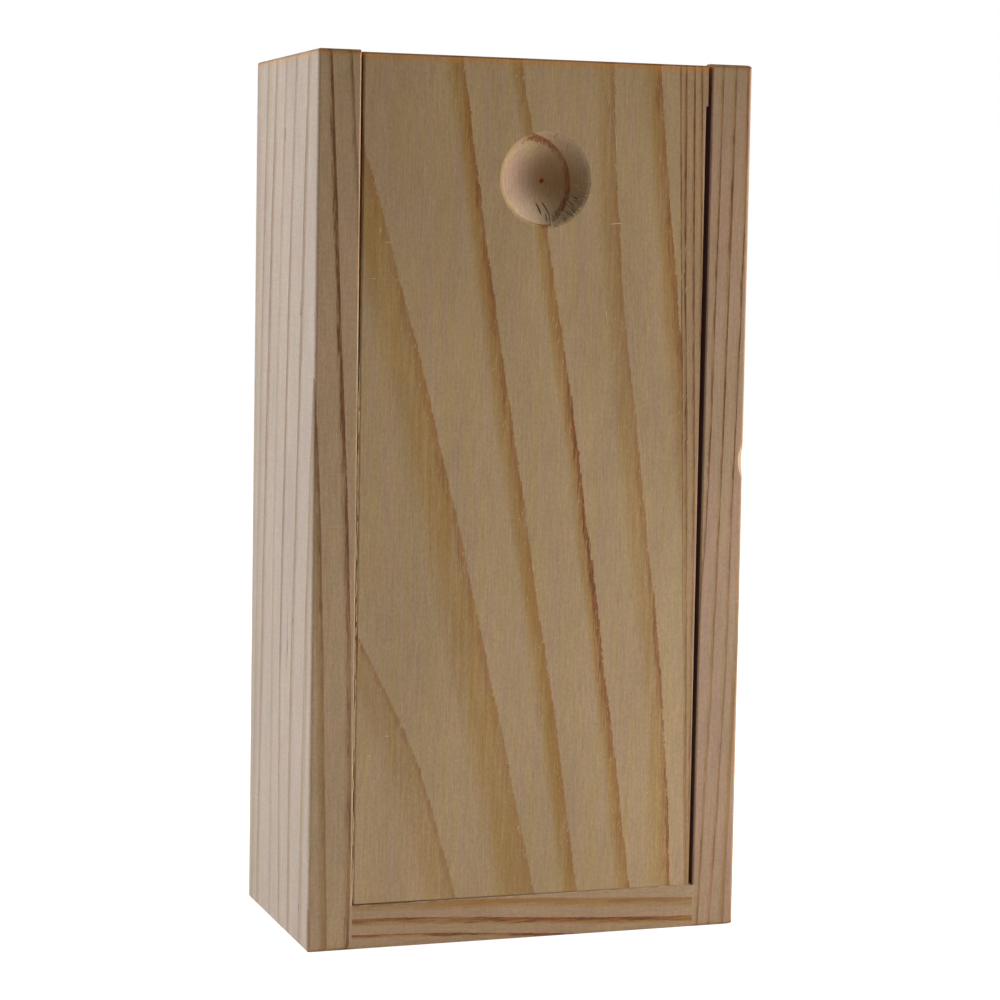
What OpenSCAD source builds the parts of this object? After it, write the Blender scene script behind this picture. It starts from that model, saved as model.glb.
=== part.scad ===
// Pine keepsake box with a sliding lid, standing on its closed end.
// Millimetres. X runs across the front from left to right, Y from the front
// to the back, and Z up along the grain. The origin is in the middle of the
// closed end, on the surface that the box stands on.

/* [Box] */
// Outside width, across both side boards
box_w = 90; // [70:1:140]
// Outside depth, from the front edges to the back edges of the boards
box_d = 50; // [40:1:90]
// Outside height, along the side boards
box_h = 175; // [120:1:260]
// Thickness of the side boards and end boards
wall = 9; // [8:0.5:12]

/* [Back panel] */
// Thickness of the thin panel that closes the back
panel_t = 3; // [2:0.5:4]
// Distance that the panel lies in front of the boards' back edges
panel_inset = 3; // [2:0.5:5]
// Depth of the grooves that hold the panel
panel_groove = 3; // [2:0.5:4]
// Room for swelling between the panel's edges and the groove bottoms
panel_room = 0.3; // [0.1:0.05:0.6]

/* [Lid] */
// Thickness of the lid
lid_t = 6; // [5:0.5:8]
// Distance that the lid's face lies behind the boards' front edges
lid_set = 0.2; // [0.1:0.05:1]
// Distance that the lid's outer end lies below the ends of the side boards
lid_short = 0.5; // [0:0.1:3]
// Gap between the lid's face and the left lip, at the closed end
left_gap = 0.2; // [0.1:0.05:0.6]
// Gap between the lid's face and the right lip, at the closed end
right_gap = 0.7; // [0.1:0.05:1]
// Distance by which the lid's lower end rises to the left, out of square
end_skew = 0.25; // [0.05:0.05:0.5]

/* [Tongue and groove] */
// Thickness of the tongue left along the lid's back
tongue_t = 2.8; // [2:0.1:3.5]
// Distance that the tongue stands out past the lid's face
tongue_reach = 3; // [2:0.25:4]
// Play between the tongue and each wall of its groove
slide_play = 0.25; // [0.15:0.05:0.5]
// Depth of the groove past the tongue's reach
groove_room = 0.4; // [0.2:0.05:1]
// Amount by which each lip thins towards the open end, to let the lid in
lip_flare = 0.35; // [0.1:0.05:0.8]

/* [Glued edge strip] */
// Width of the strip on the lid's face, at the open end
strip_open_w = 6; // [3:0.5:12]
// Width of the strip on the lid's face, at the closed end
strip_closed_w = 1.2; // [0.6:0.1:3]
// Height of the step that the planer left at the strip's outer end
step_h = 8; // [3:1:15]
// Width of that step
step_w = 0.3; // [0.1:0.05:0.4]

/* [Thumb recess] */
// Diameter of the recess at the lid's face, over its eased rim
recess_dia = 19; // [14:0.5:26]
// Depth of the recess
recess_depth = 3; // [2:0.25:3.5]
// Distance of the recess to the right of the box's middle
recess_x = 1.5; // [-8:0.5:8]
// Distance from the lid's outer end down to the middle of the recess
recess_down = 23.4; // [16:0.2:40]
// Diameter of the mark that the cutter's point left
mark_dia = 1.5; // [0.8:0.1:3]
// Depth of that mark
mark_depth = 0.4; // [0.2:0.1:0.8]

/* [Eased edges] */
// Rounding of the long back edges of the side boards
back_round = 2.5; // [0.5:0.25:4]
// Rounding of the long outer front edges of the side boards
front_round = 0.6; // [0.3:0.1:2]
// Rounding of the closed end's back edge
foot_back_round = 4.5; // [0.5:0.25:6]
// Rounding of the closed end's front edge
foot_front_round = 1.5; // [0.3:0.1:3]
// Rounding of the open end's back edge
head_back_round = 2; // [0.5:0.25:5]
// Rounding of the open end's front edge
head_front_round = 1.2; // [0.3:0.1:2]
// Rounding of the corners seen from the front
corner_round = 0.9; // [0.3:0.1:2]
// Bevel that sandpaper left on the sharp inner edges
arris = 0.3; // [0.1:0.05:0.5]

/* [Wear] */
// Height of the chip in the right front edge above the closed end
chip_z = 95.5; // [20:0.5:100]
// Length of that chip
chip_len = 8; // [3:0.5:12]
// Depth of that chip
chip_depth = 0.9; // [0.3:0.1:1.5]
// Height of the nick in the left back edge above the closed end
nick_z = 70.8; // [20:0.2:100]
// Length of that nick
nick_len = 1.4; // [0.8:0.1:3]
// Depth of that nick
nick_depth = 0.35; // [0.2:0.05:0.6]

/* [Hidden] */

$fn = 96;
past = 1;       // distance that a cut runs past the wood it cuts

// The boards
front_y = -box_d / 2;
back_y = box_d / 2;
inner_w = box_w - 2 * wall;
inner_x = inner_w / 2;
top_end_z = box_h - wall;

// The lid's thickness, read from the front: face, tongue, back
lid_face_y = front_y + lid_set;
lid_back_y = lid_face_y + lid_t;
tongue_y = lid_back_y - tongue_t;

// The groove that the tongue runs in
groove_y = tongue_y - slide_play;
groove_w = tongue_t + 2 * slide_play;
groove_deep = tongue_reach + groove_room;
lip_t = groove_y - front_y;

// The lid's outline
lid_left = -inner_x + left_gap;
lid_right = inner_x - right_gap;
lid_top = box_h - lid_short;
lid_w = lid_right - lid_left;

// The back panel
panel_y = back_y - panel_inset - panel_t;

// Radius of a ball that cuts a round hollow of this width and depth
function ball_r(width, depth) = (width * width / 4 + depth * depth) / (2 * depth);

// ---- shapes that repeat ----

// What rounding one corner of an outline takes away. The corner is at the
// origin and the outline lies towards +X and +Y.
module corner_waste(r) {
    difference() {
        translate([-past, -past]) square(r + past);
        translate([r, r]) circle(r);
    }
}

// A w by h rectangle standing in the middle of the X axis. Its corners are
// rounded by r: [low left, low right, high right, high left].
module eased_rect(w, h, r) {
    difference() {
        translate([-w / 2, 0]) square([w, h]);
        translate([-w / 2, 0]) corner_waste(r[0]);
        translate([w / 2, 0]) rotate(90) corner_waste(r[1]);
        translate([w / 2, h]) rotate(180) corner_waste(r[2]);
        translate([-w / 2, h]) rotate(270) corner_waste(r[3]);
    }
}

// The whole box as one block, sanded round after it was glued up. Each board
// is cut to this, so the rounding runs on from board to board.
module sanded_block() {
    intersection() {
        translate([0, front_y, 0])
            linear_extrude(box_h)
                eased_rect(box_w, box_d,
                    [front_round, front_round, back_round, back_round]);
        translate([-box_w / 2, 0, 0])
            rotate([90, 0, 90])
                linear_extrude(box_w)
                    eased_rect(box_d, box_h,
                        [foot_front_round, foot_back_round,
                         head_back_round, head_front_round]);
        translate([0, back_y, 0])
            rotate([90, 0, 0])
                linear_extrude(box_d)
                    eased_rect(box_w, box_h,
                        [corner_round, corner_round, corner_round, corner_round]);
    }
}

// A square bar that bevels the edge it is centred on, upright from the origin.
module arris_bar(length) {
    linear_extrude(length)
        polygon([[arris, 0], [0, arris], [-arris, 0], [0, -arris]]);
}

// ---- the glued carcass ----

// The cut that thins the left lip towards the open end, with its bevel
module lip_cut() {
    translate([-inner_x, front_y, wall])
        rotate([0, -atan(lip_flare / (box_h - wall)), 0]) {
            translate([0, -past, 0]) cube([past, lip_t + past, box_h]);
            arris_bar(box_h);
        }
}

// The left side board. Its two grooves run from end to end, because the
// board is grooved before it is cut to length.
module side_board() {
    difference() {
        intersection() {
            sanded_block();
            translate([-box_w / 2, front_y, 0]) cube([wall, box_d, box_h]);
        }
        translate([-inner_x - groove_deep, groove_y, -past])
            cube([groove_deep + past, groove_w, box_h + 2 * past]);
        translate([-inner_x - panel_groove, panel_y, -past])
            cube([panel_groove + past, panel_t, box_h + 2 * past]);
        lip_cut();
    }
}

// A ball that bites a hollow of this length and depth out of an upright edge
module edge_bite(x, y, z, out_x, out_y, length, depth) {
    r = ball_r(length, depth);
    off = (r - depth) / sqrt(2);
    translate([x + out_x * off, y + out_y * off, z]) sphere(r);
}

module left_side() {
    // Half of the corner's square that the back rounding has already taken
    lost = back_round * (1 - 1 / sqrt(2));
    color([0.78, 0.70, 0.62])
        difference() {
            side_board();
            edge_bite(-box_w / 2 + lost, back_y - lost, nick_z, -1, 1,
                nick_len, nick_depth);
        }
}

module right_side() {
    color([0.76, 0.67, 0.58])
        difference() {
            mirror([1, 0, 0]) side_board();
            edge_bite(box_w / 2, front_y, chip_z, 1, -1, chip_len, chip_depth);
        }
}

// The closed end. Its front edge shows below the lid, and its upper face is
// grooved for the lid's lower tongue and for the back panel.
module bottom_end() {
    color([0.74, 0.64, 0.52])
        difference() {
            intersection() {
                sanded_block();
                translate([-inner_x, front_y, 0]) cube([inner_w, box_d, wall]);
            }
            translate([-inner_x - past, groove_y, wall - groove_deep])
                cube([inner_w + 2 * past, groove_w, groove_deep + past]);
            translate([-inner_x - past, panel_y, wall - panel_groove])
                cube([inner_w + 2 * past, panel_t, panel_groove + past]);
            translate([-inner_x - past, front_y, wall])
                rotate([0, 90, 0]) arris_bar(inner_w + 2 * past);
        }
}

// The open end. It stops short of the front, so that the lid passes it.
module top_end() {
    y = lid_back_y + slide_play;
    color([0.76, 0.66, 0.55])
        difference() {
            intersection() {
                sanded_block();
                translate([-inner_x, y, top_end_z])
                    cube([inner_w, back_y - y, wall]);
            }
            translate([-inner_x - past, panel_y, top_end_z - past])
                cube([inner_w + 2 * past, panel_t, panel_groove + past]);
        }
}

// The thin panel, held in grooves on all four sides
module back_panel() {
    held = panel_groove - panel_room;
    color([0.82, 0.73, 0.60])
        translate([-inner_x - held, panel_y, wall - held])
            cube([inner_w + 2 * held, panel_t, top_end_z - wall + 2 * held]);
}

// ---- the lid ----

// Outline of the lid's face: its lower end out of square, and at its upper
// right the step that the planer left
module lid_face_outline() {
    polygon([
        [lid_left, wall + end_skew],
        [lid_right, wall],
        [lid_right, lid_top - step_h],
        [lid_right + step_w, lid_top - step_h],
        [lid_right + step_w, lid_top],
        [lid_left, lid_top]
    ]);
}

// Outline of the tongue, which stands out on both long edges and at the
// lower end
module tongue_outline() {
    translate([lid_left - tongue_reach, wall - tongue_reach])
        square([lid_w + 2 * tongue_reach, lid_top - wall + tongue_reach]);
}

// Stands an outline up at depth y and makes it t thick
module upright(y, t) {
    translate([0, y + t, 0]) rotate([90, 0, 0]) linear_extrude(t) children();
}

// What the round-nosed cutter takes out: the hollow, the bevel that sanding
// left on its rim, and the mark of its point
module thumb_cut() {
    hollow_dia = recess_dia - 2 * arris;
    r = ball_r(hollow_dia, recess_depth);
    // The bevel slopes half as steeply as the hollow does at its rim
    bevel_run = arris / tan(asin(hollow_dia / 2 / r) / 2);
    translate([recess_x, lid_face_y, lid_top - recess_down])
        rotate([-90, 0, 0]) {
            translate([0, 0, recess_depth - r]) sphere(r);
            translate([0, 0, -arris])
                cylinder(h = 2 * arris, r1 = recess_dia / 2 + bevel_run,
                    r2 = recess_dia / 2 - bevel_run);
            translate([0, 0, recess_depth - arris])
                cylinder(h = arris + mark_depth, r1 = mark_dia / 2,
                    r2 = mark_dia / 4);
        }
}

// The lid as it was glued up, grooved and bored, before it is told apart
// into its board and its edge strip
module lid_blank() {
    difference() {
        union() {
            upright(lid_face_y, lid_t) lid_face_outline();
            upright(tongue_y, tongue_t) tongue_outline();
        }
        translate([lid_left, lid_face_y, 0]) arris_bar(box_h);
        translate([lid_right, lid_face_y, 0]) arris_bar(lid_top - step_h);
        translate([-inner_x, lid_face_y, lid_top])
            rotate([0, 90, 0]) arris_bar(inner_w);
        thumb_cut();
    }
}

// The half of space right of the glue line, which leans to the left as the
// strip widens towards the open end
module glue_line_half() {
    lean = atan((strip_open_w - strip_closed_w) / (lid_top - wall));
    translate([lid_right - strip_closed_w, front_y - past, wall])
        rotate([0, -lean, 0])
            translate([0, 0, -box_h])
                cube([box_w, lid_t + lid_set + 2 * past, 3 * box_h]);
}

module lid_board() {
    color([0.70, 0.58, 0.44])
        difference() {
            lid_blank();
            glue_line_half();
        }
}

module lid_edge_strip() {
    color([0.68, 0.55, 0.43])
        intersection() {
            lid_blank();
            glue_line_half();
        }
}

left_side();
right_side();
bottom_end();
top_end();
back_panel();
lid_board();
lid_edge_strip();
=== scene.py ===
"""Looks for a pine box with a sliding lid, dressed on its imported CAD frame.

The box is bare sanded pine: two side boards and two end boards glued butt to butt
round a thin plywood back, and a lid that runs up and out in grooves. Every board gets
its own piece of log, a solid pattern of growth rings in real millimetres, so that the
rings of a face go on over its edges, into the end grain and down into the thumb recess.
Slivers, torn fibres and fuzz are small pieces of mesh that ride with their board.
"""

from __future__ import annotations

import logging
import math
import random
from dataclasses import dataclass
from enum import Enum
from typing import Callable

import bmesh
import bpy
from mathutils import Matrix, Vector


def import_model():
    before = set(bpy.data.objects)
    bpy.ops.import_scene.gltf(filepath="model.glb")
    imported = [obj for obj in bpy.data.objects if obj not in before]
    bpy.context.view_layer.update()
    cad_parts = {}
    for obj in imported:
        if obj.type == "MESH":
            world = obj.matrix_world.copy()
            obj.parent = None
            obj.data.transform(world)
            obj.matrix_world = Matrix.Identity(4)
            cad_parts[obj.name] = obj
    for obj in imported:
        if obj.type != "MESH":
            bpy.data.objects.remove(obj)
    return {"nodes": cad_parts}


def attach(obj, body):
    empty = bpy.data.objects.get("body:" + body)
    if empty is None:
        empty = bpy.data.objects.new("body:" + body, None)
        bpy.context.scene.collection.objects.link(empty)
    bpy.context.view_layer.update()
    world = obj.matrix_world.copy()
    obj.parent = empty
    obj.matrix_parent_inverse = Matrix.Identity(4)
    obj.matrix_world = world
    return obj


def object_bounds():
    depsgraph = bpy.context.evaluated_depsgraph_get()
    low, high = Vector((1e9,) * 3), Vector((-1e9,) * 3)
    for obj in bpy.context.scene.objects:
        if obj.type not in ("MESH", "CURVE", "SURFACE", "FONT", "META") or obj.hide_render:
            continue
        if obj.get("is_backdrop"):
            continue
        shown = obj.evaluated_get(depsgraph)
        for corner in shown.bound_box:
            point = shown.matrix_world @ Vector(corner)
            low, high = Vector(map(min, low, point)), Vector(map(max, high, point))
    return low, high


LOG = logging.getLogger("sliding_lid_box")
MM = 0.001

MATH = "ShaderNodeMath"
MIX = "ShaderNodeMix"
NOISE = "ShaderNodeTexNoise"
RANGE = "ShaderNodeMapRange"
VECTOR = "ShaderNodeVectorMath"

# The settings that many nodes share.
TIMES = {"operation": "MULTIPLY"}
TIMES_PLUS = {"operation": "MULTIPLY_ADD"}
MINUS = {"operation": "SUBTRACT"}
UNSIGNED = {"operation": "ABSOLUTE"}
SOFT = {"interpolation_type": "SMOOTHSTEP"}
BLEND = {"data_type": "RGBA"}
STAIN = {"data_type": "RGBA", "blend_type": "MULTIPLY"}

Socket = bpy.types.NodeSocket
Tree = bpy.types.NodeTree


def linear(colour: str) -> tuple[float, float, float, float]:
    """Turns an sRGB hex colour into the linear colour that the shader mixes.

    Args:
        colour: Six hex digits, such as "c8a980".

    Returns:
        Linear red, green, blue and an alpha of 1.
    """
    parts = [int(colour[i : i + 2], 16) / 255 for i in (0, 2, 4)]
    lit = [c / 12.92 if c <= 0.04045 else ((c + 0.055) / 1.055) ** 2.4 for c in parts]
    return (lit[0], lit[1], lit[2], 1.0)


def add(tree: Tree, kind: str, settings: dict | None = None, feeds: dict | None = None) -> Socket:
    """Adds one node to a tree, with its settings and what feeds its inputs.

    Args:
        tree: The node tree to add to.
        kind: The node's type name.
        settings: The node's own options, by name.
        feeds: What each input gets, by its name or its place among the open inputs: a
            number, a colour, or the socket that it is linked to.

    Returns:
        The node's first open output.
    """
    node = tree.nodes.new(kind)
    node.location = (220 * (len(tree.nodes) % 24), -260 * (len(tree.nodes) // 24))
    for name, value in (settings or {}).items():
        setattr(node, name, value)
    inputs = [s for s in node.inputs if s.enabled]
    for key, value in (feeds or {}).items():
        socket = inputs[key] if isinstance(key, int) else next(s for s in inputs if s.name == key)
        if isinstance(value, Socket):
            tree.links.new(value, socket)
        else:
            socket.default_value = value
    return next(s for s in node.outputs if s.enabled) if node.outputs else None


def blank(name: str) -> bpy.types.Material:
    """Makes a material with an empty node tree."""
    material = bpy.data.materials.new(name)
    material.use_nodes = True
    material.node_tree.nodes.clear()
    return material


def solidify(name: str, shape: bmesh.types.BMesh) -> bpy.types.Object:
    """Turns a finished shape into an object of the scene.

    Args:
        name: The object's name.
        shape: The shape, which is used up.

    Returns:
        The object.
    """
    mesh = bpy.data.meshes.new(name)
    shape.to_mesh(mesh)
    shape.free()
    thing = bpy.data.objects.new(name, mesh)
    bpy.context.scene.collection.objects.link(thing)
    return thing


class Axis(Enum):
    """The box's own axes, by their place in a position."""

    X = 0
    Y = 1
    Z = 2


class Saw(Enum):
    """How a board came out of the log, which sets the way its rings run."""

    FLAT = "rings lie nearly flat under the face and curve upwards to its edges"
    RIFT = "straight rings that lean through the thickness"
    PEELED = "one long wavy sheet, turned off the log for plywood"


@dataclass(frozen=True)
class Ring:
    """The outer edge of one growth ring where it crosses the face, and how it shows.

    Marks are its places across the face in mm, at the board's five stations. The band
    is how wide its golden summer wood shows on the face and line how wide the red-brown
    line at its very edge, both in mm; gold and dark are how strong each of them is. The
    line is darkest at one place along the board, also in mm.
    """

    marks: tuple[float, ...]
    band: float
    gold: float
    line: float
    dark: float
    darkest: float = 90.0


@dataclass(frozen=True)
class Billet:
    """The piece of log that a board was sawn from, all lengths in mm.

    The stations are the first and last of five even places along the grain, at which
    the rings were read on the plane depth = face. Through the thickness the rings move
    lean mm across per mm of depth, and in a flat-sawn board that changes by the share
    bow per mm across. Wander is how far a ring edge strays, feather how ragged it is.
    Unless it says otherwise, a board stands upright and shows its rings to the front.
    """

    face: float
    rings: tuple[Ring, ...]
    saw: Saw = Saw.RIFT
    along: Axis = Axis.Z
    across: Axis = Axis.X
    depth: Axis = Axis.Y
    stations: tuple[float, float] = (10.0, 170.0)
    lean: tuple[float, ...] = (0.0,) * 5
    bow: float = 0.0
    wander: float = 0.1
    feather: float = 0.06


@dataclass(frozen=True)
class BarePine:
    """Pine, sawn, thicknessed and sanded, with no finish on it.

    To the eye: pale spring wood that is partly rosy and partly greenish cream, golden
    summer wood that ends in a thin red-brown line, fine silky fibres along the grain,
    and a dull, slightly fuzzy surface with no gloss of its own.

    The colours run from the spring wood (pale, rosy) over the summer wood (gold) to its
    edge (rust, line). The end tint darkens end grain. Glow is a painted glow of light that
    comes through a thin end. The rest are painted light and shade: a painted highlight over
    pale fuzz and a painted shade on the floor and right wall of the recess, and in the gap
    beside the lid a painted shade that turns to painted light near the top. Fibre, blotch,
    speckle and saw marks are how strong those patterns are, and the painted sheen share how
    much of a ring line a painted sheen hides on the broad faces. The painted glow end is the
    height in mm of the end that glows with painted light and the painted glow share how
    strongly it does, gap wall the way the gap's wall faces along the across axis, and thumb
    the centre of the recess.
    """

    name: str
    billet: Billet
    pale: str = "c7ac80"
    rosy: str = "c6a989"
    gold: str = "b48c48"
    rust: str = "a5663a"
    line: str = "5c3818"
    end_tint: str = "dcc19c"
    # From glow on, the tints are painted light and shade: a glow of light through a thin end, highlight and
    # shade in the recess, and the gap wall's shade with its lit top.
    glow: str = "dd9a4c"
    floor_shade: str = "b39a72"
    fuzz_and_highlight: str = "b8988c"
    nap_and_highlight: str = "e8d0bc"
    right_wall_shade: str = "d3a882"
    gap_shade: str = "84442a"
    gap_light: str = "ff9a3c"
    fibre: float = 0.10
    blotch: float = 0.08
    speckle: float = 0.12
    saw_marks: float = 0.0
    roughness: float = 0.62
    sheen: float = 0.3
    painted_sheen: float = 0.0
    painted_glow_end: float | None = None
    painted_glow_share: float = 0.75
    gap_wall: int = 0
    thumb: tuple[float, float] | None = None

    # Each pattern's length along the grain and width across it, in mm. The real fibres
    # are 0.03 mm wide. They are coarsened to bundles 0.34 mm wide, above a pixel of the
    # main view, so that they show.
    FIBRE = (6.0, 0.34)
    STREAK = (34.0, 2.3)
    CLOUD = (45.0, 14.0)
    TORN = (2.6, 0.26)
    SPECK = (0.7, 0.4)
    SAW_MARK = (0.35, 6.0)
    DUCT = (3.0, 0.22)

    # How far fibres, saw marks and summer wood stand proud, in mm.
    FIBRE_RELIEF = 0.03
    SAW_RELIEF = 0.03
    SUMMER_RELIEF = 0.006

    # How far down from the board's end the painted glow of light through it reaches, how deep
    # the gap beside the lid is, and where along the gap its painted shade turns to painted daylight, in mm.
    GLOW_REACH = 2.2
    GAP_DEPTH = 6.4
    LIT_END = (167.0, 174.5)

    def build(self) -> bpy.types.Material:
        """Wires rings, fibres, end grain and surface into one shader.

        Returns:
            The node material, with its pattern in the box's own millimetres.
        """
        material = blank(self.name)
        tree = material.node_tree
        grain = Grain(tree, self.billet)
        band, line = grain.summer_wood()
        # Painted sheen fades the ring lines on the broad faces.
        if self.painted_sheen:
            line = self._under_painted_sheen(grain, line)
        fibre = grain.noise(*self.FIBRE, detail=3.0)
        streak = grain.noise(*self.STREAK, detail=4.0)
        cloud = grain.noise(*self.CLOUD, detail=2.0)
        end = grain.end_grain()

        # Dark specks lie where a line is strongest.
        specks = grain.spread(grain.noise(*self.TORN, detail=2.0, shift=81.0), 0.4, 0.6)
        for factor in (line, line, 0.8):
            specks = add(tree, MATH, TIMES, {0: specks, 1: factor})
        rosy = grain.spread(streak, 0.34, 0.66)
        colour = linear(self.pale)
        for factor, tint in ((rosy, self.rosy), (band, self.gold), (line, self.rust), (specks, self.line)):
            colour = add(tree, MIX, BLEND, {"Factor": factor, "A": colour, "B": linear(tint)})
        colour = add(tree, MIX, STAIN, {"Factor": end, "A": colour, "B": linear(self.end_tint)})
        # Painted highlight and painted shade in the recess, and its centre mark.
        if self.thumb:
            colour = self._recess_light_shade_and_mark(grain, colour)
        # Painted shade on the wall of the gap beside the lid, turning to painted light at the top.
        if self.gap_wall:
            colour = self._paint_gap_shade(grain, colour)
        # Painted glow of light through the board's thin end, weaker on end grain.
        if self.painted_glow_end:
            rim = grain.spread(grain.along, self.painted_glow_end - self.GLOW_REACH, self.painted_glow_end + 0.3)
            cover = add(tree, MATH, TIMES_PLUS, {0: end, 1: -self.painted_glow_share, 2: self.painted_glow_share})
            rim = add(tree, MATH, TIMES, {0: rim, 1: cover})
            colour = add(tree, MIX, BLEND, {"Factor": rim, "A": colour, "B": linear(self.glow)})
        tone = self._tone(grain, fibre, cloud)
        colour = add(tree, VECTOR, {"operation": "SCALE"}, {"Vector": colour, "Scale": tone})

        height = add(tree, MATH, TIMES_PLUS, {0: band, 1: self.SUMMER_RELIEF, 2: 0.0})
        height = add(tree, MATH, TIMES_PLUS, {0: fibre, 1: self.FIBRE_RELIEF, 2: height})
        if self.saw_marks:
            height = add(
                tree, MATH, TIMES_PLUS,
                {0: grain.noise(*self.SAW_MARK, detail=1.0), 1: self.SAW_RELIEF * self.saw_marks, 2: height},
            )
        bump = add(tree, "ShaderNodeBump", None, {"Strength": 1.0, "Distance": MM, "Height": height})

        rough = add(tree, MATH, TIMES_PLUS, {0: band, 1: -0.08, 2: self.roughness})
        rough = add(tree, MATH, TIMES_PLUS, {0: fibre, 1: 0.1, 2: rough})
        rough = add(tree, MATH, {"operation": "MULTIPLY_ADD", "use_clamp": True}, {0: end, 1: 0.18, 2: rough})

        shader = add(
            tree, "ShaderNodeBsdfPrincipled", None,
            {
                "Base Color": colour,
                "Roughness": rough,
                "Normal": bump,
                "IOR": 1.5,
                "Specular IOR Level": 0.35,
                "Sheen Weight": self.sheen,
                "Sheen Roughness": 0.35,
                "Subsurface Weight": 0.25,
                "Subsurface Radius": (1.0, 0.4, 0.12),
                "Subsurface Scale": 1.4 * MM,
            },
        )
        add(tree, "ShaderNodeOutputMaterial", None, {"Surface": shader})
        return material

    def _tone(self, grain: Grain, fibre: Socket, cloud: Socket) -> Socket:
        """Works out the light and dark of the fibres, clouds, specks and resin ducts.

        Args:
            grain: The board's grain.
            fibre: The fine fibre pattern.
            cloud: The broad pattern.

        Returns:
            A factor of about 1 for the colour.
        """
        tree = grain.tree
        # Specks are pores and sanding dust, about half a millimetre wide.
        patterns = [
            (fibre, 0.25, self.fibre),
            (cloud, 0.3, self.blotch),
            (grain.noise(*self.SPECK, detail=2.0, shift=91.0), 0.25, self.speckle),
        ]
        if self.saw_marks:
            patterns.append((grain.noise(*self.SAW_MARK, detail=1.0), 0.25, 0.06 * self.saw_marks))
        tone = 1.0
        for pattern, low, strength in patterns:
            shade = grain.spread(pattern, low, 1 - low, (1 - strength, 1 + strength), soft=False)
            tone = add(tree, MATH, TIMES, {0: tone, 1: shade})
        # Resin ducts show as fine dark dashes.
        duct = grain.spread(grain.noise(*self.DUCT, detail=1.0, shift=40.0), 0.68, 0.78)
        return add(tree, MATH, TIMES_PLUS, {0: duct, 1: -0.12, 2: tone})

    def _under_painted_sheen(self, grain: Grain, line: Socket) -> Socket:
        """Fades the ring lines on the board's broad faces, where a painted sheen veils them.

        Args:
            grain: The board's grain.
            line: How strong the lines are so far.

        Returns:
            How strong they are under the painted sheen.
        """
        tree = grain.tree
        facing = add(tree, MATH, UNSIGNED, {0: grain.facing(self.billet.depth)})
        clear = add(tree, MATH, TIMES_PLUS, {0: facing, 1: -self.painted_sheen, 2: 1.0})
        return add(tree, MATH, TIMES, {0: line, 1: clear})

    def _recess_light_shade_and_mark(self, grain: Grain, colour: Socket) -> Socket:
        """Paints the recess: pale fuzz with painted highlight at its left, painted shade on its floor and
        right wall, and the centre mark.

        Args:
            grain: The board's grain.
            colour: The wood's colour so far.

        Returns:
            The colour with the painted highlight, the painted shade and the mark.
        """
        tree = grain.tree
        x, z = self.thumb
        below = add(tree, MATH, {"operation": "GREATER_THAN"}, {0: grain.depth, 1: self.billet.face + 0.3})
        # Each spot's centre, the radii in mm at which it starts and is full, its strength,
        # how it mixes and its tint. Two are pale fuzz and partly a painted highlight on the lit
        # left and lower left, two are painted shade in brown on the right wall and the floor, and
        # the last is the centre mark.
        for centre, outer, inner, most, blend, tint in (
            ((x - 6.0, z - 0.5), 9.0, 2.0, 0.8, "MIX", self.fuzz_and_highlight),
            ((x - 3.5, z - 9.0), 8.5, 1.5, 0.9, "MIX", self.nap_and_highlight),
            ((x + 8.5, z - 2.0), 8.0, 2.0, 0.35, "MULTIPLY", self.right_wall_shade),
            ((x + 1.7, z + 1.2), 8.8, 1.2, 0.88, "MULTIPLY", self.floor_shade),
            ((x, z), 1.1, 0.6, 0.7, "MIX", self.rust),
        ):
            away = [
                add(tree, MATH, MINUS, {0: place, 1: middle})
                for place, middle in zip((grain.across, grain.along), centre)
            ]
            flat = add(tree, "ShaderNodeCombineXYZ", None, {"X": away[0], "Y": away[1]})
            radius = add(tree, VECTOR, {"operation": "LENGTH"}, {0: flat}).node.outputs["Value"]
            spot = add(tree, MATH, TIMES, {0: grain.spread(radius, outer, inner), 1: most})
            spot = add(tree, MATH, TIMES, {0: spot, 1: below})
            colour = add(
                tree, MIX, {"data_type": "RGBA", "blend_type": blend},
                {"Factor": spot, "A": colour, "B": linear(tint)},
            )
        return colour

    def _paint_gap_shade(self, grain: Grain, colour: Socket) -> Socket:
        """Paints a dark red-brown shade on the wall of the gap beside the lid, turning to painted light near
        its top.

        Args:
            grain: The board's grain.
            colour: The wood's colour so far.

        Returns:
            The colour with the painted shade and light on the wall.
        """
        tree = grain.tree
        face = self.billet.face
        wall = add(tree, MATH, TIMES, {0: grain.facing(self.billet.across), 1: self.gap_wall})
        wall = grain.spread(wall, 0.3, 0.8)
        front = add(tree, MATH, {"operation": "LESS_THAN"}, {0: grain.depth, 1: face + self.GAP_DEPTH})
        under = grain.spread(grain.depth, face + 0.15, face + 0.5)
        for factor in (front, under):
            wall = add(tree, MATH, TIMES, {0: wall, 1: factor})
        # The wall's colour is painted shade, turning to painted daylight near the top end.
        tint = add(
            tree, MIX, BLEND,
            {"Factor": grain.spread(grain.along, *self.LIT_END),
             "A": linear(self.gap_shade), "B": linear(self.gap_light)},
        )
        return add(tree, MIX, STAIN, {"Factor": wall, "A": colour, "B": tint})


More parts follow.
